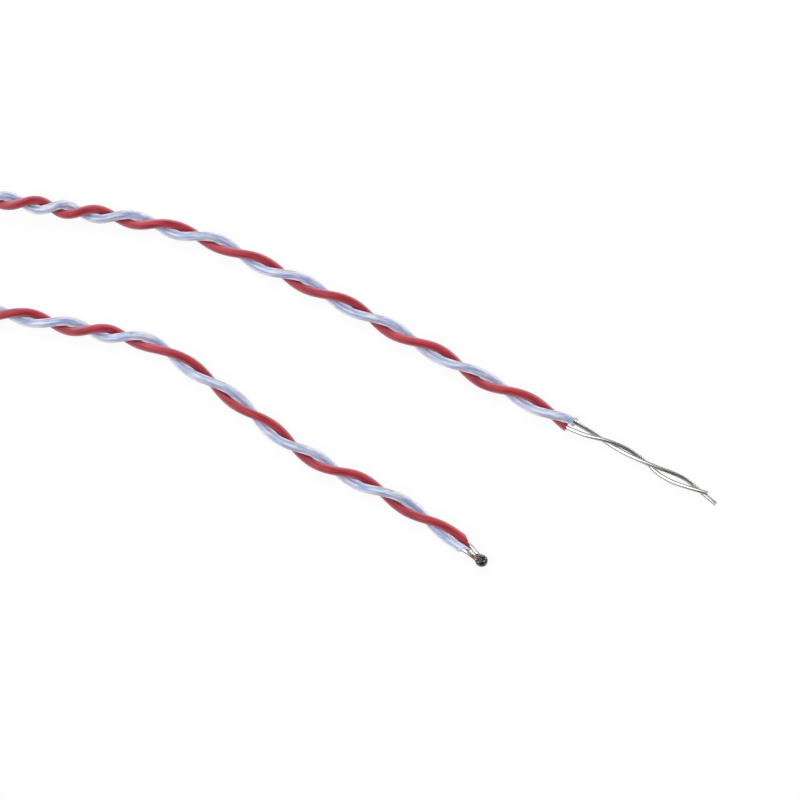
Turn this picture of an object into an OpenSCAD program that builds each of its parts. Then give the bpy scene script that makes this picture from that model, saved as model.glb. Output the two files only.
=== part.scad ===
// Exposed junction thermocouple: two insulated solid wires twisted into a pair, welded into a bead at one end
// and stripped at the other. It lies flat, and the length between its two ends is wound into a round coil.
// The origin is the centre of the weld bead. X runs to the right along the two leads, and Z points up.

/* [Wire and insulation] */
// Diameter of each solid wire
wire_d = 0.51; // [0.4:0.01:0.6]
// Wall of the insulation on each wire
wall = 0.32; // [0.28:0.01:0.4]
// Radial gap between a wire and its insulation
bore_gap = 0.02; // [0.01:0.01:0.04]

/* [Twist] */
// Gap between the two insulated cores
core_gap = 0.04; // [0.02:0.01:0.1]
// Length of one turn of the twist where it has settled, before the coil
coil_lay = 12.6; // [10:0.2:16]

/* [Junction] */
// Diameter of the weld bead
bead_d = 1.56; // [1.4:0.02:1.9]
// Length of the tapered neck that the weld draws up round the wires
neck = 0.45; // [0.2:0.05:0.5]
// How deep each wire runs into the bead
weld_depth = 0.5; // [0.3:0.05:0.6]
// Gap between a wire and the weld metal round it
weld_gap = 0.02; // [0.01:0.01:0.04]
// Weld metal between the two wires
weld_web = 0.25; // [0.05:0.05:0.3]
// Angle from level at which the two wires stand side by side in the weld
weld_tilt = 40; // [0:5:60]
// Diameter of the neck where it ends
neck_d = 0.9; // [0.7:0.05:1.1]
// Angle from the bead's axis at which the neck leaves the ball
neck_angle = 45; // [35:5:55]
// Distance from the bead's centre to the cut insulation
junction_strip = 2.6; // [2:0.1:4]

/* [Tail] */
// Distance from the end of the shorter wire to the cut insulation
tail_strip = 19.5; // [16:0.5:24]
// How far the wire in the clear insulation reaches past the other one
long_tip = 1.7; // [1:0.1:2.5]
// Length of the straight round end of the longer wire
straight_tip = 1.5; // [1:0.1:2]
// Gap between the bare wires where they cross
cross_gap = 0.04; // [0.02:0.01:0.1]
// Distances from the end of the shorter wire at which the bare wires cross
crossings = [0.85, 8.25, 14.85];
// Half the widest opening between the bare wires, in turn from the tips to the insulation
lens = [0.45, 0.52, 0.3, 0.44];

/* [Cut ends] */
// How far one side of the cut red insulation stands past its middle at the junction, and at the tail
red_cuts = [0.6, 0.15];
// How far one side of the cut clear insulation stands past its middle at the junction, and at the tail
clear_cuts = [-0.5, -0.35];

/* [Coil] */
// Diameter of the coil at the middle of its turns
coil_d = 32; // [28:0.5:36]
// Turns side by side in each layer
turns = 4; // [3:1:5]
// Layers of turns
layers = 2; // [2:1:3]
// Depth of the groove between turns
groove = 0.5; // [0.3:0.1:0.8]
// Width of the tie's band
tie_w = 3; // [2:0.5:5]
// Thickness of the tie's band
tie_t = 0.2; // [0.1:0.05:0.3]
// Length over which the band's outer end lies on its inner one
tie_lap = 7; // [5:0.5:9]
// Radius inside the band's corners
tie_round = 0.9; // [0.5:0.1:1.3]
// Gap between the tie and the turns, and between a lead and the turns that it joins
turn_gap = 0.05; // [0.02:0.01:0.1]

/* [Hidden] */
$fn = 32;
core_d = wire_d + 2 * wall;
pair_d = 2 * core_d + core_gap;
lay_r = (core_d + core_gap) / 2;
bore_r = wire_d / 2 + bore_gap;
weld_r = wire_d / 2 + weld_gap + weld_web / 2;
cross_r = (wire_d + cross_gap) / 2;
// Sides of a swept tube, and its rings in one turn of the twist
sides = 8;
steps = 8;
// Points that each span of a route is drawn with
span_steps = 6;
// Length over which the bare wires leave the twist of the insulation
settle = 1.6;
// The swept wire goes on a little way into its straight tip, slightly smaller
seat_share = 0.9;
seat_depth = 0.1;
// Half the length of line that a direction is taken over
chord = 0.4;

// Each route runs from a free end to the coil: x, y, and the height in layers of the coil
junction_route = [
    [0, 0, 0], [-1.13, 1.06, 0], [-2.42, 2.12, 0], [-3.98, 3.25, 0], [-6.71, 5.09, 0], [-9.64, 6.93, 0],
    [-12.48, 8.64, 0], [-15.19, 9.92, 0], [-18.02, 11.16, 0], [-20.77, 12.68, 0], [-23.54, 14.33, 0],
    [-26.02, 16.27, 0], [-28.5, 18.3, 0], [-31.19, 20.41, 0], [-33.81, 22.39, 0], [-36.51, 24.29, 0],
    [-39.08, 26.03, 0], [-41.47, 27.2, 0], [-44.7, 28.01, 0], [-49.01, 28.83, 0], [-53.52, 29.71, 0],
    [-57, 30.47, 0], [-60.5, 31, 0], [-64, 30.9, 0], [-67.4, 29.4, 0]];
tail_route = [
    [28.18, 8.28, -0.25], [27.05, 8.9, -0.25], [25.42, 9.75, -0.24], [23.75, 10.48, -0.22],
    [22.22, 11.24, -0.2], [20.78, 12.17, -0.18], [18.33, 13.57, -0.13], [15.3, 15.08, -0.08],
    [12.27, 16.44, -0.02], [9.12, 18.14, 0], [6.01, 19.81, 0], [3.25, 21.22, 0], [0.32, 22.64, 0],
    [-2.53, 24.24, 0], [-5.21, 25.78, 0], [-8.12, 27.26, 0], [-10.92, 28.77, 0], [-13.69, 30.32, 0],
    [-16.41, 31.78, 0], [-19.13, 33.15, 0], [-22.01, 34.57, 0], [-24.73, 35.83, 0], [-27.46, 37.07, 0],
    [-30.12, 38.35, 0], [-32.68, 39.56, 0], [-35.6, 40.6, 0], [-38.13, 41.3, 0], [-40.62, 42.05, 0],
    [-43.4, 42.6, 0.05], [-45.8, 43, 0.15], [-49.8, 43.5, 0.45], [-53.2, 44, 0.75], [-56.8, 44.5, 0.95],
    [-60.2, 45, 1], [-63.6, 45.7, 1], [-66.6, 47.3, 1]];
// Length of one turn of the twist at some distances from the cut insulation
junction_lay = [
    [0, 20.8], [6, 12.4], [10, 14.2], [16, 12], [28, 12.7], [35, 13.4], [46, 13], [52, 8.5], [57, 9.8],
    [72, coil_lay]];
tail_lays = [[0, 13.4], [10, 13], [30, 12.5], [50, 11.5], [60, 10.4], [70, 6.6], [78, 9], [86, coil_lay]];
// Angle of the red core round the pair at each cut: 0 is on top, and the twist is left-handed
junction_turn = 228;
tail_turn = 122;
// Where the leads join the coil, as angles round its centre
coil_at = [-86.15, 38.85];
junction_joint = -40;
tail_joint = 33;
// Length of a lead that runs straight along the coil's tangent, and where the tie is round the coil
lead_in = 3;
tie_turn = 180;

function unit(v) = v / norm(v);
function polar(r, a) = [r * cos(a), r * sin(a)];
function smooth(x) = let(k = max(0, min(1, x))) k * k * (3 - 2 * k);
function layer_z(k) = k * pair_d;
outer_turn = coil_d / 2 + (turns - 1) * pair_d / 2;

// The joint with the coil, and a point on its tangent a little outside it
function joint(angle, layer, way) =
    let(end = coil_at + polar(outer_turn, angle), out = end + polar(lead_in, angle + way * 90))
    [[out.x, out.y, layer], [end.x, end.y, layer]];
function lifted(route) = [for (p = route) [p.x, p.y, layer_z(p.z)]];

// A smooth line through the points of a route, and its length at each of its own points
function between(a, b, c, d, t) =
    (2 * b + (c - a) * t + (2 * a - 5 * b + 4 * c - d) * t ^ 2 + (3 * b - a - 3 * c + d) * t ^ 3) / 2;
function fair(p) = let(n = len(p) - 1)
    [for (i = [0 : n - 1], k = [0 : span_steps - 1])
        between(p[max(i - 1, 0)], p[i], p[i + 1], p[min(i + 2, n)], k / span_steps), p[n]];
function lengths(p) =
    [for (i = 0, d = 0; i < len(p); i = i + 1, d = i < len(p) ? d + norm(p[i] - p[i - 1]) : d) d];
function lead(route) = let(p = fair(lifted(route)), d = lengths(p))
    [for (axis = [0 : 2]) [for (i = [0 : len(p) - 1]) [d[i], p[i][axis]]]];
function reach(lead) = lead[0][len(lead[0]) - 1][0];
function at(lead, s) = [for (axis = lead) lookup(s, axis)];
function heading(lead, s) = unit(at(lead, min(s + chord, reach(lead))) - at(lead, max(s - chord, 0)));

junction_lead = lead(concat(junction_route, joint(junction_joint, 0, 1)));
tail_lead = lead(concat(tail_route, joint(tail_joint, layers - 1, -1)));

// Steps along the twist, each [distance, angle of the red core]
function twist(lead, from, turn, lays) = let(
    end = reach(lead),
    part = [for (s = from, a = turn; s < end; a = a + 360 / steps, s = s + lookup(s - from, lays) / steps)
        [s, a]],
    last = part[len(part) - 1],
    rest = (end - last[0]) * steps / lookup(last[0] - from, lays))
    concat([for (p = part) if (end - p[0] > lay_r) p], [[end, last[1] + rest * 360 / steps]]);

// A point beside the pair's middle line, at a radius and an angle round it
function around(lead, s, r, a) = let(t = heading(lead, s), b = unit(cross([0, 0, 1], t)), u = cross(t, b))
    at(lead, s) + r * (sin(a) * b + cos(a) * u);

// Rings of a tube round a line of points: the first may be cut obliquely, and the last is square to the lead
function ring(p, t, r, turn, cut) = let(b = unit(cross([0, 0, 1], t)), u = cross(t, b))
    [for (j = [0 : sides - 1]) let(a = turn + j * 360 / sides)
        p + r * (sin(a) * b + cos(a) * u) - t * cut * sin(a)];
function rings(line, r, turn, end, cut = 0) = let(n = len(line) - 1)
    [for (i = [0 : n])
        ring(line[i], i == n ? end : unit(line[i + 1] - line[max(i - 1, 0)]), r, turn, i == 0 ? cut : 0)];

// A grid of rings as triangles: closed on itself as a hollow tube, or with two flat ends as a rod
function grid(rows, wraps) = [for (i = [0 : rows - (wraps ? 1 : 2)], j = [0 : sides - 1])
    let(k = (j + 1) % sides, a = i * sides, b = (i + 1) % rows * sides)
    each [[a + j, b + k, b + j], [a + j, a + k, b + k]]];
module hollow(outside, inside) {
    loops = concat(outside, [for (i = [len(inside) - 1 : -1 : 0]) inside[i]]);
    polyhedron([for (ring = loops) each ring], grid(len(loops), true));
}
module rod(rings) {
    ends = [[for (j = [sides - 1 : -1 : 0]) j], [for (j = [0 : sides - 1]) (len(rings) - 1) * sides + j]];
    polyhedron([for (ring = rings) each ring], concat(grid(len(rings), false), ends));
}

junction_twist = twist(junction_lead, junction_strip, junction_turn, junction_lay);
tail_twist = twist(tail_lead, tail_strip, tail_turn, tail_lays);

// Middle line of one core: offset is 0 for the red one and 180 for the clear one
function core_line(lead, twist, offset) = [for (p = twist) around(lead, p[0], lay_r, p[1] + offset)];

module insulation(offset, cuts) {
    leads = [[junction_lead, junction_twist, junction_turn], [tail_lead, tail_twist, tail_turn]];
    for (k = [0 : 1]) {
        line = core_line(leads[k][0], leads[k][1], offset);
        turn = leads[k][2];
        end = heading(leads[k][0], reach(leads[k][0]));
        inner_cut = cuts[k] * bore_r * 2 / core_d;
        hollow(rings(line, core_d / 2, turn, end, cuts[k]), rings(line, bore_r, turn, end, inner_cut));
    }
}

// The bare wires of the tail: they touch where they cross, and open into a lens between crossings
tail_turns = concat(
    [[0, 180 * (1 - len(crossings) - crossings[0] / (crossings[1] - crossings[0]))]],
    [for (k = [0 : len(crossings) - 1]) [crossings[k], 180 * (k + 1 - len(crossings))]],
    [[tail_strip, tail_turn]]);
function tail_point(s, side) = let(
    t = heading(tail_lead, s), b = unit(cross([0, 0, 1], t)), u = cross(t, b),
    a = lookup(s, tail_turns),
    half = lens[len([for (c = crossings) if (s > c) c])],
    twisted = smooth(1 - (tail_strip - s) / settle),
    wide = half + (lay_r - half) * twisted,
    high = cross_r + (lay_r - cross_r) * twisted)
    at(tail_lead, s) + side * (wide * sin(a) * b + high * cos(a) * u);
tail_steps = [for (i = [0 : 2 * steps]) i * tail_strip / (2 * steps + 1)];
function tail_line(side) = [for (s = tail_steps) tail_point(s, side)];

// The axis of the bead points from its centre to the pair, and its two wires stand side by side across it
bead_axis = unit(at(junction_lead, junction_strip));
level_side = unit(cross([0, 0, 1], bead_axis));
bead_side = cos(weld_tilt) * level_side + sin(weld_tilt) * cross(bead_axis, level_side);
function weld_point(side, depth) = bead_axis * (bead_d / 2 - depth) + bead_side * side * weld_r;

module wire(offset, side) {
    legs = [weld_point(side, weld_depth), weld_point(side, -neck)];
    line = concat(legs, core_line(junction_lead, junction_twist, offset));
    rod(rings(line, wire_d / 2, junction_turn, heading(junction_lead, reach(junction_lead))));
}
module tail_wire(offset, side, tip) {
    line = concat(tail_line(side), core_line(tail_lead, tail_twist, offset));
    body = rings(line, wire_d / 2, tail_turn, heading(tail_lead, reach(tail_lead)));
    rod(concat(tip, body));
}

module along(from, to) {
    v = to - from;
    translate(from) rotate([0, acos(v.z / norm(v)), atan2(v.y, v.x)]) children();
}

// The longer wire goes on past the shorter one, and ends in a straight round tip
tip_from = tail_line(-1)[0];
tip_way = unit(tip_from - tail_line(-1)[1]);
tip_base = tip_from + tip_way * (long_tip - straight_tip);

module junction_bead() {
    color("#26221f") difference() {
        along([0, 0, 0], bead_axis) union() {
            sphere(d = bead_d, $fn = 48);
            cylinder(h = bead_d / 2 + neck, r1 = bead_d / 2 * cos(neck_angle), d2 = neck_d);
        }
        for (side = [-1, 1])
            along(weld_point(side, weld_depth), weld_point(side, -neck))
                cylinder(h = 2 * bead_d, d = wire_d + 2 * weld_gap);
    }
}

module positive_wire() {
    seat = ring(tip_base + tip_way * seat_depth, -tip_way, wire_d / 2 * seat_share, tail_turn, 0);
    color("#b9b7b0") {
        wire(180, 1);
        tail_wire(180, -1, [seat]);
        along(tip_base, tip_base + tip_way) cylinder(h = straight_tip, d = wire_d);
    }
}

module negative_wire() {
    color("#b0aea8") {
        wire(0, -1);
        tail_wire(0, 1, []);
    }
}

module clear_insulation() {
    color("#c3c9e2", 0.8) insulation(180, clear_cuts);
}

module red_insulation() {
    color("#a8323c") insulation(0, red_cuts);
}

// Width and height of the whole bundle of turns
bundle = [turns * pair_d, layers * pair_d];

module bundle_section() {
    for (i = [0 : turns - 1], k = [0 : layers - 1])
        translate([outer_turn - i * pair_d, layer_z(k)]) circle(d = pair_d);
    translate([(coil_d - bundle.x) / 2 + groove, -pair_d / 2 + groove])
        square([bundle.x - 2 * groove, bundle.y - 2 * groove]);
}

// The space beside a joint that the lead takes as it leaves the outermost turn
module lead_space(angle, layer, way) {
    side = pair_d / 2 + turn_gap;
    translate([coil_at.x, coil_at.y, layer_z(layer) - side]) rotate(angle) mirror([0, way < 0 ? 1 : 0, 0])
        translate([outer_turn - side, -turn_gap, 0]) cube([2 * pair_d, coil_d / 2, 2 * side]);
}

// A rectangle with round corners, from its lowest corner
module rounded(size, r) {
    translate([r, 0]) square([size.x - 2 * r, size.y]);
    translate([0, r]) square([size.x, size.y - 2 * r]);
    for (x = [r, size.x - r], y = [r, size.y - r]) translate([x, y]) circle(r = r);
}

// The band's inside stands off the bundle, further at the coil's hole, where the turns curve away from it
hole_r = (coil_d - bundle.x) / 2;
tie_in = [sqrt(hole_r ^ 2 - (tie_w / 2) ^ 2) - turn_gap, tie_t - pair_d / 2];
tie_out = [(coil_d + bundle.x) / 2 + turn_gap, bundle.y - pair_d / 2 + turn_gap];
tie_size = tie_out - tie_in;

module tie_section() {
    difference() {
        translate(tie_in - [tie_t, tie_t]) rounded(tie_size + 2 * [tie_t, tie_t], tie_round + tie_t);
        translate(tie_in) rounded(tie_size, tie_round);
    }
    translate([(coil_d - tie_lap) / 2, tie_out.y + tie_t]) square([tie_lap, tie_t]);
}

// Places what is drawn in the coil's radial section at the tie, out of the section by a given depth
module at_tie(depth) {
    translate([coil_at.x, coil_at.y, 0]) rotate(tie_turn) rotate([90, 0, 0])
        translate([0, 0, -depth / 2]) linear_extrude(depth) children();
}

module stored_coil() {
    tie_space = [tie_size.x + 2 * tie_t + 2 * turn_gap, tie_t + turn_gap];
    color("#b9a3b4") difference() {
        translate([coil_at.x, coil_at.y, 0]) rotate_extrude($fn = 96) bundle_section();
        lead_space(junction_joint, 0, 1);
        lead_space(tail_joint, layers - 1, -1);
        at_tie(tie_w + 2 * turn_gap) translate([tie_in.x - tie_t - turn_gap, -pair_d / 2]) square(tie_space);
    }
}

module coil_tie() {
    color("#e8e6df") at_tie(tie_w) tie_section();
}

junction_bead();
positive_wire();
negative_wire();
clear_insulation();
red_insulation();
stored_coil();
coil_tie();
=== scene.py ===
import math

import bpy
import numpy as np
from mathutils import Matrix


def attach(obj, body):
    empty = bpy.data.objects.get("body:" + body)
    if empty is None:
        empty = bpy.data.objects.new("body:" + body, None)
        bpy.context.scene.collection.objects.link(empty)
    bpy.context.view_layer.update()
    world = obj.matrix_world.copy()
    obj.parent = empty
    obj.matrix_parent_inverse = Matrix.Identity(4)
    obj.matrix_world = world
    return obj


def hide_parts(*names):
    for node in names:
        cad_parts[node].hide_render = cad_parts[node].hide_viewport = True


# Exposed junction thermocouple, lying flat and seen from straight above.
# Every length is in metres: sizes are written as millimetres times mm, and routes as they are.
mm = 0.001

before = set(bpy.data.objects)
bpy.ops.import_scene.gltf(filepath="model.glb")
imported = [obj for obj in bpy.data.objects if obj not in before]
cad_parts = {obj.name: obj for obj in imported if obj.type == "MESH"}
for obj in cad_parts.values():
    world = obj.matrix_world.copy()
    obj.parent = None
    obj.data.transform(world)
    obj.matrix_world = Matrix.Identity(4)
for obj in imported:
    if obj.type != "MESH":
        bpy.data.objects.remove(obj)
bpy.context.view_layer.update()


# The camera looks straight down through a long lens.
shot = {
    "width": 100 * mm,  # of the floor in view
    "middle": (-10.2 * mm, 20.1 * mm),
    "lens": 100,
    "sensor": 36,
    "clip": (0.01, 20),  # nearest and furthest distance that is drawn
}


def makeCamera():
    data = bpy.data.cameras.new("camera")
    data.lens, data.sensor_width = shot["lens"], shot["sensor"]
    data.clip_start, data.clip_end = shot["clip"]
    camera = bpy.data.objects.new("camera", data)
    camera.location = (*shot["middle"], shot["width"] * shot["lens"] / shot["sensor"])
    bpy.context.scene.collection.objects.link(camera)
    bpy.context.scene.camera = camera


makeCamera()
print("camera placed")


# The pair: two insulated cores side by side, each turning round the pair's middle line.
pair = {
    "core": 1.15 * mm,
    "wire": 0.51 * mm,
    "bore": 0.55 * mm,
    "gap": 0.04 * mm,  # between the two cores
    "press": 0.01,  # share by which each core is flattened against the other
    "waver": 0.016,  # share by which a core's size wavers along it
    "waves": (3.7 * mm, 1.3 * mm),  # lengths of that waver, slow and quick, for each radian
    "coreStep": 0.475 * mm,  # between the rings of a core
    "wireStep": 0.5 * mm,
    "lineStep": 0.1 * mm,  # between the points at which the pair's own axes are worked out
    "turnStep": 0.05 * mm,  # between the points at which its turns are added up
    "sides": 24,
    "boreSides": 12,
}
pairWidth = 2 * pair["core"] + pair["gap"]
layRadius = (pair["core"] + pair["gap"]) / 2

# Each lead runs from its free end to the coil: x, y, and the height in layers of the coil.
leads = {
    "junction": {
        "route": [
            (0, 0, 0), (-0.00113, 0.00106, 0), (-0.00242, 0.00212, 0),
            (-0.00398, 0.00325, 0), (-0.00671, 0.00509, 0), (-0.00964, 0.00693, 0),
            (-0.01248, 0.00864, 0), (-0.01519, 0.00992, 0), (-0.01802, 0.01116, 0),
            (-0.02077, 0.01268, 0), (-0.02354, 0.01433, 0), (-0.02602, 0.01627, 0),
            (-0.0285, 0.0183, 0), (-0.03119, 0.02041, 0), (-0.03381, 0.02239, 0),
            (-0.03651, 0.02429, 0), (-0.03908, 0.02603, 0), (-0.04147, 0.0272, 0),
            (-0.0447, 0.02801, 0), (-0.04901, 0.02883, 0), (-0.05352, 0.02971, 0),
            (-0.057, 0.03047, 0), (-0.0605, 0.031, 0), (-0.064, 0.0309, 0),
            (-0.0674, 0.0294, 0),
        ],
        "cut": 2.6 * mm,  # from the free end to the middle of the cut insulation
        "turn": 228,  # angle of the red core there, 0 on top
        # Length of one turn of the twist at some distances from the cut
        "lays": [(0, 0.0208), (0.006, 0.0124), (0.01, 0.0142), (0.016, 0.012), (0.028, 0.0127),
                 (0.035, 0.0134), (0.046, 0.013), (0.052, 0.0085), (0.057, 0.0098),
                 (0.072, 0.0126)],
    },
    "tail": {
        "route": [
            (0.02818, 0.00828, -0.25), (0.02705, 0.0089, -0.25), (0.02542, 0.00975, -0.24),
            (0.02375, 0.01048, -0.22), (0.02222, 0.01124, -0.2), (0.02078, 0.01217, -0.18),
            (0.01833, 0.01357, -0.13), (0.0153, 0.01508, -0.08), (0.01227, 0.01644, -0.02),
            (0.00912, 0.01814, 0), (0.00601, 0.01981, 0), (0.00325, 0.02122, 0),
            (0.00032, 0.02264, 0), (-0.00253, 0.02424, 0), (-0.00521, 0.02578, 0),
            (-0.00812, 0.02726, 0), (-0.01092, 0.02877, 0), (-0.01369, 0.03032, 0),
            (-0.01641, 0.03178, 0), (-0.01913, 0.03315, 0), (-0.02201, 0.03457, 0),
            (-0.02473, 0.03583, 0), (-0.02746, 0.03707, 0), (-0.03012, 0.03835, 0),
            (-0.03268, 0.03956, 0), (-0.0356, 0.0406, 0), (-0.03813, 0.0413, 0),
            (-0.04062, 0.04205, 0), (-0.0434, 0.0426, 0.05), (-0.0458, 0.043, 0.15),
            (-0.0498, 0.0435, 0.45), (-0.0532, 0.044, 0.75), (-0.0568, 0.0445, 0.95),
            (-0.0602, 0.045, 1), (-0.0636, 0.0457, 1), (-0.0666, 0.0473, 1),
        ],
        "cut": 19.5 * mm,
        "turn": 122,
        "lays": [(0, 0.0134), (0.01, 0.013), (0.03, 0.0125), (0.05, 0.0115), (0.06, 0.0104),
                 (0.07, 0.0066), (0.078, 0.009), (0.086, 0.0126)],
    },
}

# The stored length: a flat coil of two layers, wound inwards below and outwards above.
coil = {
    "middle": (-86.15 * mm, 38.85 * mm),
    "diameter": 32 * mm,  # at the middle of its turns
    "turns": 4,  # in each layer
    "joints": (-40, 33),  # angles at which the junction lead and the tail lead leave it
    "stepArc": 60,  # angle over which a turn steps to the next one
    "lay": 12.6 * mm,
    "straight": 3 * mm,  # length of a lead along the coil's tangent
    "pointArc": 3,  # angle between points of the line
    "ahead": 5,  # angle from a joint to the point inside the coil that a lead's line is aimed at
}
tie = {
    "angle": 180,
    "width": 3 * mm,
    "thickness": 0.2 * mm,
    "lap": 7 * mm,
    "gap": 0.05 * mm,
    "round": 0.9 * mm,  # inside its corners
    "level": 0.3 * mm,  # from a corner to where its outer end begins to climb over the inner one
    "soft": 0.06 * mm,  # width of its softened edges
    "bevel": (0.3, 0.7),  # shares of that width, and of half the thickness, at which an edge bends
    "drawn": 0.98,  # share of the thickness that is drawn, so that its two ends stay apart
    "clear": 0.6,  # share of the width, from its middle, past which the lower turns come down
    "points": (12, 8, 24),  # of its line: before the corners, round each one and after them
}
outerTurn = coil["diameter"] / 2 + (coil["turns"] - 1) * pairWidth / 2


def unit(vectors):
    return vectors / np.linalg.norm(vectors, axis=-1, keepdims=True)


def smooth(value):
    share = np.clip(value, 0, 1)
    return share * share * (3 - 2 * share)


def fairLine(points, steps=24):
    # A Catmull-Rom line through the points
    points = np.array(points, float)
    padded = np.vstack([points[:1], points, points[-1:]])
    line = []
    for i in range(len(points) - 1):
        a, b, c, d = padded[i:i + 4]
        for t in np.arange(steps) / steps:
            bend = (2 * a - 5 * b + 4 * c - d) * t ** 2 + (3 * b - a - 3 * c + d) * t ** 3
            line.append((2 * b + (c - a) * t + bend) / 2)
    return np.array(line + [points[-1]])


def distances(line):
    return np.concatenate([[0], np.cumsum(np.linalg.norm(np.diff(line, axis=0), axis=1))])


def alongLine(line, where):
    length = distances(line)
    return np.stack([np.interp(where, length, line[:, k]) for k in range(3)], axis=1)


def crossFrame(line):
    # For each point of a line: the way ahead, the level way to its left, and the way up from both
    ahead = unit(np.gradient(line, axis=0))
    left = unit(np.cross([0, 0, 1], ahead))
    return ahead, left, np.cross(ahead, left)


def coilPoint(turned):
    # turned is the angle wound since the junction lead came in, going clockwise
    count, arc = coil["turns"], coil["stepArc"]
    topArc = (coil["joints"][0] - coil["joints"][1]) % 360
    inward = sum(smooth((turned - 360 * k + arc) / arc) for k in range(1, count))
    raised = smooth((turned - 360 * count + arc) / arc)
    outward = sum(smooth((turned - 360 * count - topArc - 360 * k) / arc) for k in range(count - 1))
    radius = outerTurn - pairWidth * (inward - outward)
    angle = math.radians(coil["joints"][0] - turned)
    # Under the tie the lower turns lie on its band
    away = abs((math.degrees(angle) - tie["angle"] + 180) % 360 - 180)
    past = math.radians(away) * radius / tie["width"] - tie["clear"]
    lift = (tie["thickness"] + tie["gap"]) * (1 - smooth(past)) * (1 - raised)
    x, y = coil["middle"]
    return (x + radius * math.cos(angle), y + radius * math.sin(angle), raised * pairWidth + lift)


coilTurned = 360 * (2 * coil["turns"] - 1) + (coil["joints"][0] - coil["joints"][1]) % 360


def leadLine(name):
    # The lead's middle line from its free end, with its last point at the joint with the coil
    steps = 24
    turned, end, inward = (0, 0, 1) if name == "junction" else (coilTurned, 1, -1)
    joint = np.array(coilPoint(turned))
    inside = np.array(coilPoint(turned + inward * coil["ahead"]))
    angle = math.radians(coil["joints"][end] + inward * 90)
    outside = joint + coil["straight"] * np.array([math.cos(angle), math.sin(angle), 0])
    route = [(x, y, layer * pairWidth) for x, y, layer in leads[name]["route"]]
    return fairLine([*route, outside, joint, inside], steps)[:-steps]


def turnedAlong(name, length):
    # Angle of the red core at evenly spaced distances from the cut to the coil
    lead, step = leads[name], pair["turnStep"]
    where = np.arange(0, length - lead["cut"], step)
    gained = np.cumsum(360 * step / np.interp(where, *zip(*lead["lays"])))
    return where + lead["cut"], lead["turn"] + np.concatenate([[0], gained[:-1]])


def makePair():
    # The pair's middle line from the bead, through the coil, to the tail, and the red core's angle
    near, far = leadLine("junction"), leadLine("tail")
    turns = np.arange(coil["pointArc"], coilTurned, coil["pointArc"])
    wound = np.array([coilPoint(turned) for turned in turns])
    line = np.vstack([near, wound, far[::-1]])
    length = distances(line)
    total, nearEnd, farEnd = length[-1], distances(near)[-1], distances(far)[-1]
    nearWhere, nearTurn = turnedAlong("junction", nearEnd)
    farWhere, farTurn = turnedAlong("tail", farEnd)
    # The coil's own lay is set so that the twist meets the far lead's
    stored = total - nearEnd - farEnd
    gained = 360 * stored / coil["lay"]
    wanted = -farTurn[-1] - nearTurn[-1]
    gained = wanted + 360 * round((gained - wanted) / 360)
    where = np.concatenate([nearWhere, total - farWhere[::-1]])
    turn = np.concatenate([nearTurn, nearTurn[-1] + gained + farTurn[-1] - farTurn[::-1]])
    print(f"pair {total / mm:.0f} mm long, {stored / mm:.0f} mm of it in the coil")
    return {"line": line, "total": total, "where": where, "turn": turn, "far": farEnd}


pairLine = makePair()


def coreLine(offset, where):
    # Middle line of one core, offset from the red one's angle, at distances along the pair
    turn = np.radians(np.interp(where, pairLine["where"], pairLine["turn"]) + offset)
    fine = np.arange(0, pairLine["total"], pair["lineStep"])
    middle = alongLine(pairLine["line"], fine)
    _, left, up = crossFrame(middle)
    left, up = (np.stack([np.interp(where, fine, part[:, k]) for k in range(3)], axis=1)
                for part in (left, up))
    point = alongLine(pairLine["line"], where)
    return point + layRadius * (np.sin(turn)[:, None] * left + np.cos(turn)[:, None] * up)


def spaced(line, step):
    # The same line with evenly spaced points
    length = distances(line)
    return alongLine(line, np.linspace(0, length[-1], max(2, round(length[-1] / step) + 1)))


print("routes laid")


# Meshes
def anglesRound(sides):
    return np.arange(sides) * 2 * math.pi / sides


def ringsAlong(line, radius, sides, shape=1):
    # A ring of points round each point of a line. The radius is one value or one for each ring,
    # and shape is a share of it.
    _, left, up = crossFrame(line)
    angles = anglesRound(sides)
    radius = np.broadcast_to(radius, len(line))[:, None] * np.ones(sides) * shape
    sine, cosine = np.sin(angles)[None, :, None], np.cos(angles)[None, :, None]
    ring = sine * left[:, None, :] + cosine * up[:, None, :]
    return line[:, None, :] + radius[:, :, None] * ring


def gridFaces(rows, sides):
    faces = []
    for i in range(rows - 1):
        a, b = i * sides, (i + 1) * sides
        for j in range(sides):
            k = (j + 1) % sides
            faces.append((a + j, b + j, b + k, a + k))
    return faces


def endFaces(rows, sides):
    return [tuple(range(sides))[::-1], tuple((rows - 1) * sides + j for j in range(sides))]


sharpAngle = math.radians(40)


def addPiece(name, points, faces, grain=None, tint=None):
    # A smooth mesh object; grain and tint are values that its finish reads at each point
    mesh = bpy.data.meshes.new(name)
    mesh.from_pydata([tuple(p) for p in points], [], faces)
    mesh.polygons.foreach_set("use_smooth", [True] * len(mesh.polygons))
    given = (("grain", "FLOAT_VECTOR", "vector", grain), ("tint", "FLOAT", "value", tint))
    for label, kind, field, values in given:
        if values is not None:
            mesh.attributes.new(label, kind, "POINT").data.foreach_set(field, np.ravel(values))
    mesh.validate()
    mesh.set_sharp_from_angle(angle=sharpAngle)
    piece = bpy.data.objects.new(name, mesh)
    bpy.context.scene.collection.objects.link(piece)
    return piece


def grainAlong(line, sides, radius):
    # Millimetres round and along a tube, so that grain runs lengthwise and has no seam
    angles, rows = anglesRound(sides), np.ones((len(line), 1))
    around = [rows * radius * np.cos(angles), rows * radius * np.sin(angles)]
    along = distances(line)[:, None] * np.ones(sides)
    return np.stack([*around, along], axis=2).reshape(-1, 3) / mm


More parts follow.
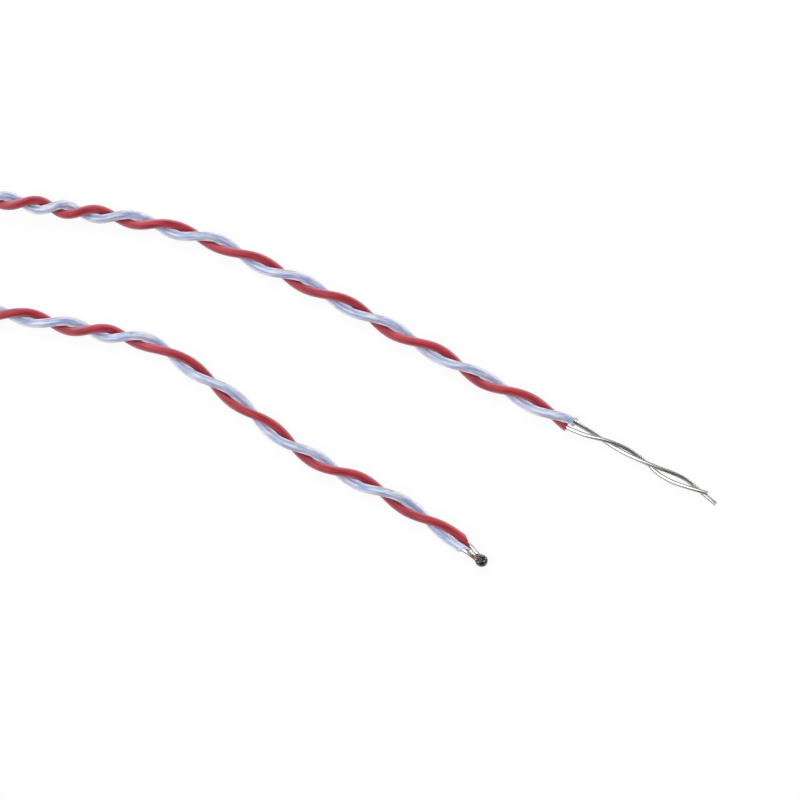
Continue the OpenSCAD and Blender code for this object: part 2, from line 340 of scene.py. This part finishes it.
# The two sleeves, each cut obliquely at both ends
sleeves = {
    "red": {
        "offset": 0,  # angle from the red core
        "starts": 2.75 * mm,  # from the bead's middle to the middle of the cut
        "ends": 19.5 * mm,  # from the tail's end
        # How far the side towards the lower left, and the top, stand past that middle
        "startSlant": (1.05 * mm, 0.25 * mm),
        "endSlant": (0.15 * mm, 0),
        "trim": 0.45,  # share of the core's half width past which that side is cut square
    },
    "clear": {
        "offset": 180,
        "starts": 2.55 * mm,
        "ends": 18.95 * mm,
        "startSlant": (-0.55 * mm, -0.35 * mm),
        "endSlant": (-0.05 * mm, -0.4 * mm),
        "trim": 1,
    },
}
cuts = {
    # Distances of the first rings from the cut, so that its edge is crisp
    "rings": (0, 0.01 * mm, 0.03 * mm, 0.1 * mm, 0.25 * mm),
    "margin": 0.5 * mm,  # from the cut to the evenly spaced rings
    "drawnIn": 0.03,  # share by which the outermost ring is drawn in
    "waver": 0.03 * mm,
    "fade": 1.6 * mm,  # length over which the slant fades away from the cut
}


def sleevePath(sleeve):
    # Distances of a sleeve's rings along the pair
    first, last = sleeve["starts"], pairLine["total"] - sleeve["ends"]
    ends = np.array(cuts["rings"])
    inner = np.arange(first + cuts["margin"], last - cuts["margin"], pair["coreStep"])
    return np.concatenate([first + ends, inner, last - ends[::-1]])


def slantCuts(rings, line, where, sleeve):
    # Moves the rings near both ends along the core, for oblique and slightly uneven cuts
    ahead = crossFrame(line)[0][:, None, :]
    angles = anglesRound(rings.shape[1])
    reach = np.linalg.norm(rings - line[:, None, :], axis=2) / (pair["core"] / 2)
    # The lower left is to the left of the way at the junction and to its right at the tail, but
    # the cut faces the other way there too, so its side has the same sign at both.
    for end, over, (low, top) in ((0, -1, sleeve["startSlant"]), (-1, 1, sleeve["endSlant"])):
        side = -low * np.minimum(np.sin(angles), sleeve["trim"])
        uneven = cuts["waver"] * np.sin(3 * angles + 1)
        shift = reach * (side + over * top * np.cos(angles) + uneven)
        fade = 1 - smooth(np.abs(where - where[end]) / cuts["fade"])
        rings += (shift * fade[:, None])[:, :, None] * ahead


def makeSleeve(name, sleeve):
    where = sleevePath(sleeve)
    line = coreLine(sleeve["offset"], where)
    # The two cores press on each other along the side that faces the pair's middle line
    inward = alongLine(pairLine["line"], where) - line
    _, left, up = crossFrame(line)
    facing = np.arctan2(np.sum(inward * left, axis=1), np.sum(inward * up, axis=1))
    near = np.clip(np.cos(anglesRound(pair["sides"]) - facing[:, None]), 0, 1)
    slow, quick = pair["waves"]
    waver = 1 - pair["waver"] * (2 + np.sin(where / slow) + np.sin(where / quick + 2)) / 4
    outer = ringsAlong(line, pair["core"] / 2 * waver, pair["sides"], 1 - pair["press"] * near ** 4)
    inner = ringsAlong(line, pair["bore"] / 2, pair["boreSides"])
    for end in (0, -1):
        outer[end] += (line[end] - outer[end]) * cuts["drawnIn"]
    for rings in (outer, inner):
        slantCuts(rings, line, where, sleeve)
    return buildTube(name, line, outer, inner, near ** 2)


def buildTube(name, line, outer, inner, tint):
    # Outer wall, bore, and a flat ring face at each end between them; tint is for the outer wall
    sides, boreSides, count = outer.shape[1], inner.shape[1], len(line)
    points = np.vstack([outer.reshape(-1, 3), inner.reshape(-1, 3)])
    start = count * sides
    faces = gridFaces(count, sides)
    faces += [tuple(start + v for v in face[::-1]) for face in gridFaces(count, boreSides)]
    ratio = sides // boreSides
    for row in (0, count - 1):
        for j in range(boreSides):
            near = [row * sides + (j * ratio + m) % sides for m in range(ratio + 1)]
            a, b = (start + row * boreSides + k % boreSides for k in (j, j + 1))
            face = (*near, b, a)
            faces.append(face if row == 0 else face[::-1])
    outerGrain = grainAlong(line, sides, pair["core"] / 2)
    innerGrain = grainAlong(line, boreSides, pair["bore"] / 2)
    tint = np.concatenate([tint.ravel(), np.zeros(count * boreSides)])
    return addPiece(name, points, faces, np.vstack([outerGrain, innerGrain]), tint)


redSleeve = makeSleeve("redSleeve", sleeves["red"])
clearSleeve = makeSleeve("clearSleeve", sleeves["clear"])
print("sleeves made")


# The weld bead, and where the two wires run into it
bead = {
    "diameter": 1.56 * mm,
    "sides": 64,
    "neck": 0.3 * mm,  # length of the neck past the ball
    "wide": (0.66 * mm, 0.52 * mm),  # half of the neck's width, in the ball and at its end
    "thick": (0.42 * mm, 0.22 * mm),  # half of its thickness there
    "blend": 0.1 * mm,  # between ball and neck
    "apart": 0.4 * mm,  # from the bead's axis to the middle of each wire
    "tilt": 40,  # angle from level at which the two wires stand side by side in it
    "depth": 0.5 * mm,  # of the wires in the ball
    "lumps": 0.02,
    "flattens": 0.4,  # share of the radius along the axis at which the neck starts to flatten
    "heated": 0.6,  # share of the radius along the axis at which the heat tint starts
    "heatFade": 0.5 * mm,
    "gathers": 0.3 * mm,  # from a sleeve's cut to where its wire leaves the core's middle line
}
beadAxis = unit(alongLine(pairLine["line"], [leads["junction"]["cut"]])[0])
levelSide = unit(np.cross([0, 0, 1], beadAxis))
beadTilt = math.radians(bead["tilt"])
beadSide = math.cos(beadTilt) * levelSide + math.sin(beadTilt) * np.cross(beadAxis, levelSide)
beadUp = np.cross(beadAxis, beadSide)


# The bare wires of the tail touch where they cross, and open into a lens between crossings
bareTail = {
    "crossings": (0.85 * mm, 8.25 * mm, 14.85 * mm),  # from the end of the shorter wire
    "touch": 0.275 * mm,  # from the pair's middle line to each wire where they cross
    # Half of each opening in turn, from the tips
    "lenses": (0.45 * mm, 0.52 * mm, 0.3 * mm, 0.44 * mm),
    "leaves": 0.5 * mm,  # from a sleeve's cut back to the last point on the core's middle line
    "settle": 1.6 * mm,  # length over which they leave the twist of the insulation
    "step": 0.4 * mm,
    "tip": 0.7 * mm,  # length that the cutters pinch
    "wider": 0.03,  # share by which they widen it
    "flatter": 0.08,
}
wires = {
    "negativeWire": {
        "sleeve": sleeves["red"],
        "side": -1,  # of the bead
        "tinted": 0.2 * mm,  # length of the heat tint past the ball
        "past": 0,  # how far the tip reaches past the tail's end
    },
    "positiveWire": {
        "sleeve": sleeves["clear"],
        "side": 1,
        "tinted": 0.95 * mm,
        "past": 1.66 * mm,
    },
}


def bareLine(offset):
    # Middle line of one bare wire, from the tip to the insulation
    cut, crossings = leads["tail"]["cut"], bareTail["crossings"]
    where = np.arange(0, cut, bareTail["step"])
    before = 180 * crossings[0] / (crossings[1] - crossings[0])
    turns = (-360 - before, -360, -180, 0, leads["tail"]["turn"])
    turn = np.radians(np.interp(where, (0, *crossings, cut), turns))
    twisted = smooth(1 - (cut - where) / bareTail["settle"])
    half = np.array(bareTail["lenses"])[np.searchsorted(crossings, where)]
    side = math.cos(math.radians(offset))
    wide = (half + (layRadius - half) * twisted) * side
    high = (bareTail["touch"] + (layRadius - bareTail["touch"]) * twisted) * side
    middle = alongLine(leadLine("tail"), where)
    _, left, up = crossFrame(middle)
    return middle + (wide * np.sin(turn))[:, None] * left + (high * np.cos(turn))[:, None] * up


def pinchTip(line, rings):
    _, left, up = crossFrame(line)
    length = distances(line)
    pinch = smooth(1 - (length[-1] - length) / bareTail["tip"])[:, None, None]
    spread = rings - line[:, None, :]
    wide = np.sum(spread * left[:, None, :], axis=2, keepdims=True) * left[:, None, :]
    high = np.sum(spread * up[:, None, :], axis=2, keepdims=True) * up[:, None, :]
    wide *= 1 + bareTail["wider"] * pinch
    high *= 1 - bareTail["flatter"] * pinch
    return line[:, None, :] + wide + high


def makeWire(name):
    # From inside the bead, along the core's middle line, and out along the bare tail
    wire = wires[name]
    sleeve, ball, sides = wire["sleeve"], bead["diameter"] / 2, pair["boreSides"]
    into = [beadAxis * reach + beadSide * wire["side"] * bead["apart"]
            for reach in (ball - bead["depth"], ball + bead["neck"])]
    first = sleeve["starts"] - bead["gathers"]
    last = pairLine["total"] - leads["tail"]["cut"] - bareTail["leaves"]
    inside = coreLine(sleeve["offset"], np.arange(first, last, 3 * pair["wireStep"]))
    tail = bareLine(sleeve["offset"])
    if wire["past"]:
        tail = np.vstack([tail[0] + unit(tail[0] - tail[3]) * wire["past"], tail])
    line = spaced(fairLine(np.vstack([into, inside, tail[::-1]]), 6), pair["wireStep"])
    rings = pinchTip(line, ringsAlong(line, pair["wire"] / 2, sides))
    faces = gridFaces(len(line), sides) + endFaces(len(line), sides)
    heat = smooth((bead["depth"] + wire["tinted"] - distances(line)) / bead["heatFade"])
    grain = grainAlong(line, sides, pair["wire"] / 2)
    return addPiece(name, rings.reshape(-1, 3), faces, grain, np.repeat(heat, sides))


negativeWire = makeWire("negativeWire")
positiveWire = makeWire("positiveWire")
print("wires made")


def beadWidth(height, angles):
    # From the bead's axis to its skin at one height: the ball, blended into the oval of the neck
    radius, blend, start = bead["diameter"] / 2, bead["blend"], bead["flattens"]
    across = math.sqrt(max(radius ** 2 - height ** 2, 0))
    share = smooth((height - radius * start) / (radius * (1 - start) + bead["neck"]))
    wide, thick = (first + (last - first) * share for first, last in (bead["wide"], bead["thick"]))
    oval = wide * thick / np.sqrt((thick * np.cos(angles)) ** 2 + (wide * np.sin(angles)) ** 2)
    oval = oval * (height > 0) * smooth(height / (0.3 * radius) + 0.3)
    return blend * np.log(np.exp(across / blend) + np.exp(oval / blend) - 1)


def makeBead():
    # A lumpy ball that is drawn up into a flat neck round the two wires
    radius, neck, sides = bead["diameter"] / 2, bead["neck"], bead["sides"]
    angles = anglesRound(sides)
    ring = beadSide * np.cos(angles)[:, None] + beadUp * np.sin(angles)[:, None]
    ball = -radius * np.cos(np.radians(np.arange(2, 120, 3)))
    heights = np.concatenate([ball, np.linspace(ball[-1], radius + neck, 24)[1:]])
    points = [beadAxis * -radius]
    for height in heights:
        points.extend(beadAxis * height + ring * beadWidth(height, angles)[:, None])
    points = np.array(points + [beadAxis * (radius + neck)])
    way = unit(points + 1e-9)
    waves = (([5, 3, 2], 1), ([-3, 6, 4], 2), ([2, -4, 7], 0))
    lump = sum(np.sin(way @ wave + phase) for wave, phase in waves) / 3
    onBall = points @ beadAxis < radius * 0.8
    points = points * (1 + bead["lumps"] * lump[:, None] * onBall[:, None])
    rows, last = len(heights), len(points) - 1
    faces = [tuple(1 + v for v in face) for face in gridFaces(rows, sides)]
    start = 1 + (rows - 1) * sides
    for j in range(sides):
        k = (j + 1) % sides
        faces += [(0, 1 + j, 1 + k), (last, start + k, start + j)]
    # The heat tint is on the side of the wire in the clear sleeve
    fade, start = bead["heatFade"], radius * bead["heated"]
    heat = smooth((points @ beadAxis - start) / fade) * smooth(0.3 + points @ beadSide / fade)
    return addPiece("weldBead", points, [face[::-1] for face in faces], None, heat)


weldBead = makeBead()
print("bead made")


def tieRoute():
    # The band's middle line, once round the bundle: distance from the coil's axis, and height
    bundle = (coil["turns"] * pairWidth, 2 * pairWidth)
    hole, gap, half = (coil["diameter"] - bundle[0]) / 2, tie["gap"], tie["thickness"] / 2
    inner = math.sqrt(hole ** 2 - (tie["width"] / 2) ** 2) - gap
    left, right = inner + tie["round"], hole + bundle[0] + gap - tie["round"]
    bottom = tie["thickness"] - pairWidth / 2 + tie["round"]
    top = bundle[1] - pairWidth / 2 + gap - tie["round"]
    corner = tie["round"] + half
    lapStart, lapEnd = (coil["diameter"] - tie["lap"]) / 2, (coil["diameter"] + tie["lap"]) / 2
    before, each, after = tie["points"]
    route = [(x, top + corner) for x in np.linspace(lapStart, right - half, before)]
    corners = ((right, top, 90), (right, bottom, 0), (left, bottom, -90), (left, top, -180))
    for x, z, start in corners:
        for angle in np.radians(np.linspace(start, start - 90, each)):
            route.append((x + corner * math.cos(angle), z + corner * math.sin(angle)))
    # The outer end climbs over the inner one
    climb = left + tie["level"]
    for x in np.linspace(climb, lapEnd, after):
        climbed = smooth((x - climb) / (lapStart - climb))
        route.append((x, top + corner + climbed * tie["thickness"]))
    return np.array(route)


def makeTie():
    # A flat band with soft edges
    route = tieRoute()
    ahead = unit(np.gradient(route, axis=0))
    out = np.stack([-ahead[:, 1], ahead[:, 0]], axis=1)
    wide, thick, soft = tie["width"] / 2, tie["thickness"] / 2 * tie["drawn"], tie["soft"]
    bendIn, bendUp = soft * tie["bevel"][0], thick * tie["bevel"][1]
    over = [(-wide, 0), (-wide + bendIn, bendUp), (-wide + soft, thick), (wide - soft, thick),
            (wide - bendIn, bendUp)]
    section = over + [(-side, -level) for side, level in over]
    angle = math.radians(tie["angle"])
    radial = np.array([math.cos(angle), math.sin(angle), 0])
    across = np.array([-math.sin(angle), math.cos(angle), 0])
    middle, up = np.array([*coil["middle"], 0]), np.array([0, 0, 1])
    points = [middle + radial * (x + outX * level) + across * side + up * (z + outZ * level)
              for (x, z), (outX, outZ) in zip(route, out) for side, level in section]
    count = len(section)
    faces = gridFaces(len(route), count) + endFaces(len(route), count)
    grain = np.array([(side, 0, place) for place in distances(route) for side, _ in section]) / mm
    return addPiece("tieBand", points, faces, grain)


tieBand = makeTie()
print("tie made")


# Finishes
def newGroup(name, inputs, outputs):
    group = bpy.data.node_groups.new(name, "ShaderNodeTree")
    for label, value in inputs:
        socket = group.interface.new_socket(label, in_out="INPUT", socket_type="NodeSocketFloat")
        socket.default_value = value
    for label in outputs:
        group.interface.new_socket(label, in_out="OUTPUT", socket_type="NodeSocketFloat")
    return group, group.nodes.new("NodeGroupInput"), group.nodes.new("NodeGroupOutput")


def addAttribute(nodes, name):
    attribute = nodes.new("ShaderNodeAttribute")
    attribute.attribute_name = name
    return attribute


def makeLengthwiseGroup():
    # Fine grain drawn out along a tube, and a slower change along it
    inputs = [("Fineness", 6), ("Stretch", 0.05)]
    group, given, result = newGroup("lengthwiseGrain", inputs, ["Streak", "Drift"])
    nodes, links = group.nodes, group.links
    grain = addAttribute(nodes, "grain")
    stretch = nodes.new("ShaderNodeCombineXYZ")
    stretch.inputs["X"].default_value = stretch.inputs["Y"].default_value = 1
    links.new(given.outputs["Stretch"], stretch.inputs["Z"])
    scaled = nodes.new("ShaderNodeVectorMath")
    scaled.operation = "MULTIPLY"
    links.new(grain.outputs["Vector"], scaled.inputs[0])
    links.new(stretch.outputs["Vector"], scaled.inputs[1])
    streak = nodes.new("ShaderNodeTexNoise")
    streak.inputs["Detail"].default_value = 3
    links.new(scaled.outputs["Vector"], streak.inputs["Vector"])
    links.new(given.outputs["Fineness"], streak.inputs["Scale"])
    links.new(streak.outputs["Fac"], result.inputs["Streak"])
    drift = nodes.new("ShaderNodeTexNoise")
    drift.inputs["Scale"].default_value = 0.5
    drift.inputs["Detail"].default_value = 2
    links.new(grain.outputs["Vector"], drift.inputs["Vector"])
    links.new(drift.outputs["Fac"], result.inputs["Drift"])
    return group


def makeShareGroup():
    # A soft step of a value between two levels, up to a strength
    inputs = [("Value", 0), ("Low", 0), ("High", 1), ("Strength", 1)]
    group, given, result = newGroup("softShare", inputs, ["Share"])
    step = group.nodes.new("ShaderNodeMapRange")
    step.interpolation_type = "SMOOTHSTEP"
    sockets = {"Value": "Value", "Low": "From Min", "High": "From Max", "Strength": "To Max"}
    for label, socket in sockets.items():
        group.links.new(given.outputs[label], step.inputs[socket])
    group.links.new(step.outputs["Result"], result.inputs["Share"])
    return group


lengthwise = makeLengthwiseGroup()
softShare = makeShareGroup()


def newMaterial(name):
    material = bpy.data.materials.new(name)
    material.use_nodes = True
    nodes, links = material.node_tree.nodes, material.node_tree.links
    return material, nodes, links, nodes["Principled BSDF"]


def addGrain(nodes, fineness, stretch):
    node = nodes.new("ShaderNodeGroup")
    node.node_tree = lengthwise
    node.inputs["Fineness"].default_value = fineness
    node.inputs["Stretch"].default_value = stretch
    return node


def addRamp(nodes, links, source, stops):
    # A ramp has two elements from the start, so the first and last stops come before the others
    ramp = nodes.new("ShaderNodeValToRGB")
    elements = ramp.color_ramp.elements
    first, *between, last = stops
    for i, (place, colour) in enumerate((first, last, *between)):
        element = elements[i] if i < 2 else elements.new(place)
        element.position = place
        element.color = (*colour, 1)
    links.new(source, ramp.inputs["Fac"])
    return ramp.outputs["Color"]


def addShare(nodes, links, value, levels, source, colour):
    # Mixes a colour in where a value is high. The levels are the values where that starts and
    # ends, and how much of the colour it gets.
    share = nodes.new("ShaderNodeGroup")
    share.node_tree = softShare
    for label, level in zip(("Low", "High", "Strength"), levels):
        share.inputs[label].default_value = level
    mixed = nodes.new("ShaderNodeMix")
    mixed.data_type = "RGBA"
    mixed.inputs["B"].default_value = (*colour, 1)
    links.new(value, share.inputs["Value"])
    links.new(share.outputs["Share"], mixed.inputs["Factor"])
    links.new(source, mixed.inputs["A"])
    return mixed.outputs["Result"]


def addTint(nodes):
    # Nearness of the other core on a sleeve, and heat on a wire or the bead
    # On a sleeve its finish paints shade and bounced light by it
    return addAttribute(nodes, "tint").outputs["Fac"]


# 0 where a surface faces the view and 1 at its outline; the finishes paint sheen and reflections by
# it
def addFacing(nodes):
    facing = nodes.new("ShaderNodeLayerWeight")
    facing.inputs["Blend"].default_value = 0.5
    return facing.outputs["Facing"]


def addRange(nodes, links, source, low, high):
    # Spreads the middle of a noise over a range
    mapped = nodes.new("ShaderNodeMapRange")
    mapped.inputs["From Min"].default_value, mapped.inputs["From Max"].default_value = 0.3, 0.7
    mapped.inputs["To Min"].default_value, mapped.inputs["To Max"].default_value = low, high
    links.new(source, mapped.inputs["Value"])
    return mapped.outputs["Result"]


def addRoughness(nodes, links, source, shader, rough):
    links.new(addRange(nodes, links, source, *rough), shader.inputs["Roughness"])


def addBump(nodes, links, height, normal, strength, distance):
    bump = nodes.new("ShaderNodeBump")
    bump.inputs["Strength"].default_value = strength
    bump.inputs["Distance"].default_value = distance
    links.new(height, bump.inputs["Height"])
    links.new(bump.outputs["Normal"], normal)


def makeRedFinish():
    # Waxy red fluoropolymer with faint lines drawn along it and a pale sheen painted at its edges
    look = {
        "dark": (0.22, 0.013, 0.023),
        "light": (0.42, 0.036, 0.05),
        # A painted sheen: paler where the surface turns away from the view
        "edge": (0.53, 0.21, 0.255),
        # Painted shade, darker and more purple, where it faces the other core
        "near": (0.215, 0.022, 0.05),  # towards the other core
        "rough": (0.3, 0.42),
        "ior": 1.28,
    }
    material, nodes, links, shader = newMaterial("redPolymer")
    grain = addGrain(nodes, 3.2, 0.12)
    stops = [(0.36, look["dark"]), (0.62, look["light"])]
    body = addRamp(nodes, links, grain.outputs["Streak"], stops)
    # Painted sheen at the edges
    body = addShare(nodes, links, addFacing(nodes), (0, 0.55, 0.75), body, look["edge"])
    # Painted shade beside the other core
    body = addShare(nodes, links, addTint(nodes), (0.1, 0.8, 0.85), body, look["near"])
    links.new(body, shader.inputs["Base Color"])
    addRoughness(nodes, links, grain.outputs["Drift"], shader, look["rough"])
    shader.inputs["IOR"].default_value = look["ior"]
    shader.inputs["Subsurface Weight"].default_value = 0.15
    shader.inputs["Subsurface Radius"].default_value = (1, 0.2, 0.15)
    shader.inputs["Subsurface Scale"].default_value = 0.3 * mm
    addBump(nodes, links, grain.outputs["Streak"], shader.inputs["Normal"], 0.25, 0.02 * mm)
    return material


def makeClearFinish():
    # Translucent fluoropolymer with a cool cast and a pale sheen painted at its edges, round a
    # faint wire
    look = {
        "dark": (0.425, 0.485, 0.79),
        "light": (0.84, 0.9, 0.96),
        # A painted sheen: pale where the surface turns away from the view
        "edge": (0.98, 0.98, 0.99),
        # Painted shade, darker and bluer, where it turns towards the other core
        "paintedShade": (0.5, 0.5, 0.84),  # where it turns towards the other core
        # A painted highlight with bounced red light, where it faces that core
        "near": (0.99, 0.83, 0.96),  # where it faces that core, with some of its red
        "rough": (0.15, 0.25),
        "ior": 1.35,
        "through": 0.65,
    }
    material, nodes, links, shader = newMaterial("clearPolymer")
    grain = addGrain(nodes, 3, 0.16)
    stops = [(0.39, look["dark"]), (0.59, look["light"])]
    body = addRamp(nodes, links, grain.outputs["Streak"], stops)
    # Painted sheen at the edges
    body = addShare(nodes, links, addFacing(nodes), (0.05, 0.6, 0.9), body, look["edge"])
    # Painted shade on the side turned towards the other core
    body = addShare(nodes, links, addTint(nodes), (0, 0.3, 0.5), body, look["paintedShade"])
    # Painted highlight and bounced red light where it faces the other core
    body = addShare(nodes, links, addTint(nodes), (0.5, 0.85, 0.8), body, look["near"])
    links.new(body, shader.inputs["Base Color"])
    addRoughness(nodes, links, grain.outputs["Drift"], shader, look["rough"])
    shader.inputs["IOR"].default_value = look["ior"]
    shader.inputs["Transmission Weight"].default_value = look["through"]
    addBump(nodes, links, grain.outputs["Streak"], shader.inputs["Normal"], 0.08, 0.02 * mm)
    return material


def makeWireFinish(name, base):
    # Bright drawn wire with fine die lines, a painted dark reflection at its edges, tinted beside
    # the weld
    look = {
        "straw": (0.66, 0.61, 0.52),
        "tan": (0.5, 0.42, 0.32),
        "brown": (0.34, 0.26, 0.19),
        # A painted dark reflection, mixed in where the surface turns away from the view
        "edge": (0.15, 0.145, 0.125),
        "rough": (0.14, 0.3),
    }
    material, nodes, links, shader = newMaterial(name)
    grain = addGrain(nodes, 14, 0.02)
    stops = [(0, base), (0.35, look["straw"]), (0.7, look["tan"]), (1, look["brown"])]
    tint = addRamp(nodes, links, addTint(nodes), stops)
    # Painted dark reflections at the edges
    tint = addShare(nodes, links, addFacing(nodes), (0.1, 0.58, 0.7), tint, look["edge"])
    links.new(tint, shader.inputs["Base Color"])
    shader.inputs["Metallic"].default_value = 1
    addRoughness(nodes, links, grain.outputs["Streak"], shader, look["rough"])
    addBump(nodes, links, grain.outputs["Streak"], shader.inputs["Normal"], 0.3, 0.004 * mm)
    return material


def makeBeadFinish():
    # Mottled dark weld oxide, brown where it meets a wire, with painted glints and painted pale
    # edges
    look = {
        "dark": (0.01, 0.006, 0.005),
        "dull": (0.043, 0.035, 0.031),
        # Pale spots that paint glints into the oxide's colour
        "paintedGlint": (0.42, 0.4, 0.39),
        # A painted reflection: paler where the surface turns away from the view
        "edge": (0.19, 0.17, 0.163),
        "brown": (0.17, 0.1, 0.055),
        "rough": (0.1, 0.26),
        "ior": 1.36,
    }
    material, nodes, links, shader = newMaterial("weldOxide")
    place = nodes.new("ShaderNodeTexCoord")
    noise = nodes.new("ShaderNodeTexNoise")
    noise.inputs["Scale"].default_value = 3.6 / mm
    noise.inputs["Detail"].default_value = 3
    links.new(place.outputs["Object"], noise.inputs["Vector"])
    # The last stop paints glints
    stops = [(0.43, look["dark"]), (0.57, look["dull"]), (0.65, look["paintedGlint"])]
    oxideAndPaintedLight = addRamp(nodes, links, noise.outputs["Fac"], stops)
    # Painted reflection at the edges
    oxideAndPaintedLight = addShare(nodes, links, addFacing(nodes), (0.2, 0.7, 0.8), oxideAndPaintedLight, look["edge"])
    oxideAndPaintedLight = addShare(nodes, links, addTint(nodes), (0, 1, 0.9), oxideAndPaintedLight, look["brown"])
    links.new(oxideAndPaintedLight, shader.inputs["Base Color"])
    addRoughness(nodes, links, noise.outputs["Fac"], shader, look["rough"])
    shader.inputs["IOR"].default_value = look["ior"]
    addBump(nodes, links, noise.outputs["Fac"], shader.inputs["Normal"], 0.3, 0.04 * mm)
    return material


def makeTieFinish():
    # Pale woven band
    look = {"thin": (0.56, 0.55, 0.51), "thick": (0.66, 0.65, 0.61), "rough": 0.6, "weave": 0.9}
    material, nodes, links, shader = newMaterial("paleBand")
    grain = addGrain(nodes, 9, 0.4)
    stops = [(0.3, look["thin"]), (0.7, look["thick"])]
    body = addRamp(nodes, links, grain.outputs["Streak"], stops)
    links.new(body, shader.inputs["Base Color"])
    shader.inputs["Roughness"].default_value = look["rough"]
    wave = nodes.new("ShaderNodeTexWave")
    wave.inputs["Scale"].default_value = look["weave"]
    wave.bands_direction = "Z"
    links.new(addAttribute(nodes, "grain").outputs["Vector"], wave.inputs["Vector"])
    addBump(nodes, links, wave.outputs["Fac"], shader.inputs["Normal"], 0.3, 0.03 * mm)
    return material


def finish(piece, material):
    piece.data.materials.append(material)
    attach(piece, "root")


finish(redSleeve, makeRedFinish())
finish(clearSleeve, makeClearFinish())
finish(positiveWire, makeWireFinish("brightWire", (0.72, 0.71, 0.69)))
finish(negativeWire, makeWireFinish("greyWire", (0.66, 0.65, 0.64)))
finish(weldBead, makeBeadFinish())
finish(tieBand, makeTieFinish())
print("finishes made")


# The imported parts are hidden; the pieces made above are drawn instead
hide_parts("red_insulation", "stored_coil")
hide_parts("clear_insulation", "stored_coil")
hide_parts("positive_wire")
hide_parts("negative_wire")
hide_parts("junction_bead")
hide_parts("coil_tie")


# The stage: a white floor, soft lamps, and dark cards that only shiny surfaces see
stage = {
    "floor": 3.0,
    "drop": 0.01 * mm,  # of the floor below the pair
    "glow": 0.88,  # share of the floor that is plain white where it is seen
    "world": 0.3,
    "aim": (-0.01, 0.02, 0.0),
    # Each one's turn and height above the horizon in degrees, distance, size, and power or shade
    "lamps": [
        {"name": "key", "turn": 150, "rise": 65, "away": 0.9, "size": (1.9, 0.95), "power": 12.5},
        {"name": "rim", "turn": 128, "rise": 14, "away": 0.8, "size": (0.18, 0.14), "power": 1.4},
        {"name": "fill", "turn": 30, "rise": 6, "away": 0.8, "size": (0.18, 0.14), "power": 1.4},
    ],
    "cards": [
        {"turn": -30, "rise": 50, "away": 0.7, "size": (1.6, 0.75), "shade": 0.09},
        {"turn": 60, "rise": 15, "away": 1.0, "size": (1.6, 0.55), "shade": 0.02},
        {"turn": 240, "rise": 15, "away": 1.0, "size": (1.6, 0.55), "shade": 0.02},
    ],
}


def plane(name, size):
    x, y = size[0] / 2, size[1] / 2
    mesh = bpy.data.meshes.new(name)
    mesh.from_pydata([(-x, -y, 0), (x, -y, 0), (x, y, 0), (-x, y, 0)], [], [(0, 1, 2, 3)])
    thing = bpy.data.objects.new(name, mesh)
    bpy.context.scene.collection.objects.link(thing)
    return thing


def addSeen(nodes, links):
    # 1 where the camera sees a surface, straight, in gloss or through a clear piece
    rays = nodes.new("ShaderNodeLightPath")
    seen = rays.outputs["Is Camera Ray"]
    for label in ("Is Glossy Ray", "Is Transmission Ray"):
        either = nodes.new("ShaderNodeMath")
        either.operation = "MAXIMUM"
        links.new(seen, either.inputs[0])
        links.new(rays.outputs[label], either.inputs[1])
        seen = either.outputs["Value"]
    return seen


def makeFloor():
    floor = plane("floor", (stage["floor"], stage["floor"]))
    floor.location.z = -pairWidth / 2 - stage["drop"]
    material, nodes, links, shader = newMaterial("whiteFloor")
    shader.inputs["Base Color"].default_value = (0.9, 0.9, 0.9, 1)
    shader.inputs["Roughness"].default_value = 0.9
    share = nodes.new("ShaderNodeMath")
    share.operation = "MULTIPLY"
    share.inputs[1].default_value = stage["glow"]
    links.new(addSeen(nodes, links), share.inputs[0])
    white = nodes.new("ShaderNodeEmission")
    mix = nodes.new("ShaderNodeMixShader")
    links.new(share.outputs["Value"], mix.inputs["Fac"])
    links.new(shader.outputs["BSDF"], mix.inputs[1])
    links.new(white.outputs["Emission"], mix.inputs[2])
    links.new(mix.outputs["Shader"], nodes["Material Output"].inputs["Surface"])
    floor.data.materials.append(material)


def aimAt(thing, item):
    # Places a lamp or a card round the object and turns its face to it
    turn, rise = math.radians(item["turn"]), math.radians(item["rise"])
    way = (math.cos(turn) * math.cos(rise), math.sin(turn) * math.cos(rise), math.sin(rise))
    thing.location = [stage["aim"][k] + way[k] * item["away"] for k in range(3)]
    thing.rotation_euler = (math.pi / 2 - rise, 0, turn + math.pi / 2)


def makeLamps():
    for item in stage["lamps"]:
        data = bpy.data.lights.new(item["name"], "AREA")
        data.shape, data.size, data.size_y = "RECTANGLE", *item["size"]
        data.energy = item["power"]
        lamp = bpy.data.objects.new(item["name"], data)
        bpy.context.scene.collection.objects.link(lamp)
        aimAt(lamp, item)


def makeCards():
    for count, item in enumerate(stage["cards"]):
        material, _, _, shader = newMaterial(f"card{count}")
        shader.inputs["Base Color"].default_value = (*[item["shade"]] * 3, 1)
        shader.inputs["Specular IOR Level"].default_value = 0
        card = plane(f"card{count}", item["size"])
        aimAt(card, item)
        card.visible_camera = card.visible_diffuse = False
        card.visible_transmission = card.visible_shadow = False
        card.data.materials.append(material)


def makeWorld():
    world = bpy.data.worlds.new("studio")
    bpy.context.scene.world = world
    world.use_nodes = True
    nodes, links = world.node_tree.nodes, world.node_tree.links
    background = nodes["Background"]
    background.inputs["Color"].default_value = (1, 1, 1, 1)
    strength = nodes.new("ShaderNodeMapRange")
    strength.inputs["To Min"].default_value = stage["world"]
    strength.inputs["To Max"].default_value = 1
    links.new(addSeen(nodes, links), strength.inputs["Value"])
    links.new(strength.outputs["Result"], background.inputs["Strength"])


makeFloor()
makeLamps()
makeCards()
makeWorld()
bpy.context.scene.view_settings.view_transform = "Standard"
print("stage set")
